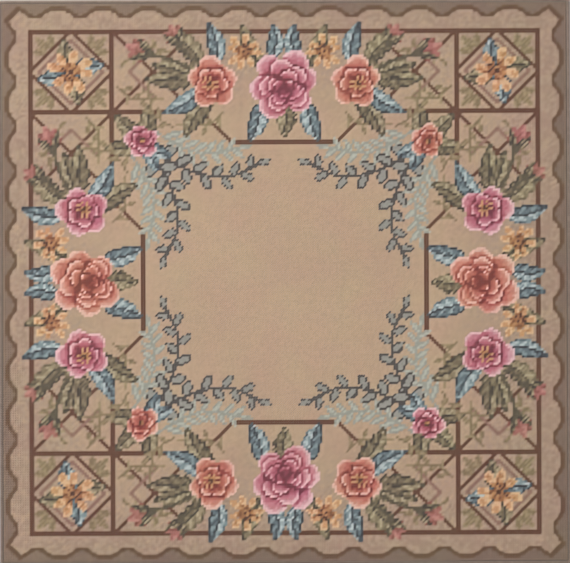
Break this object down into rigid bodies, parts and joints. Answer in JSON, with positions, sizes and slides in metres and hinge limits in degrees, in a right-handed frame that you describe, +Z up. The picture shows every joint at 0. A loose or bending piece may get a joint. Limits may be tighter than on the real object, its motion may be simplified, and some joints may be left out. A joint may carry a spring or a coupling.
{
  "type": "needlepoint canvas panel",
  "caption": "Flat square needlepoint panel: a worked wool-on-canvas field with an overcast yarn edge along each side.",
  "frame": {"origin": "centre of the panel's underside, on the surface it lies on", "axes": "+Z up out of the worked face, +X to the right and +Y to the far edge as the panel is seen"},
  "size_m": [0.609, 0.6024, 0.0029],
  "materials": {
    "ground_wool": "matte tan tapestry wool in tent stitch",
    "edge_wool": "matte grey-brown wool, overcast",
    "border_wool": "matte brown tapestry wool",
    "line_wool": "matte dark brown tapestry wool",
    "scallop_wool": "matte brown tapestry wool, darker than the border",
    "coral_wool": "matte coral tapestry wool in several shades",
    "pink_wool": "matte rose pink tapestry wool in several shades",
    "gold_wool": "matte gold tapestry wool in several shades",
    "teal_wool": "matte grey-teal tapestry wool in several shades",
    "olive_wool": "matte olive tapestry wool in several shades",
    "slate_wool": "matte slate and pale grey tapestry wool",
    "back_yarn": "runs of the same wools on the back of the work"
  },
  "bodies": {
    "root": {"canvas": "ground_wool", "edge_front": "edge_wool", "edge_right": "edge_wool", "edge_back": "edge_wool", "edge_left": "edge_wool"}
  },
  "joints": []
}
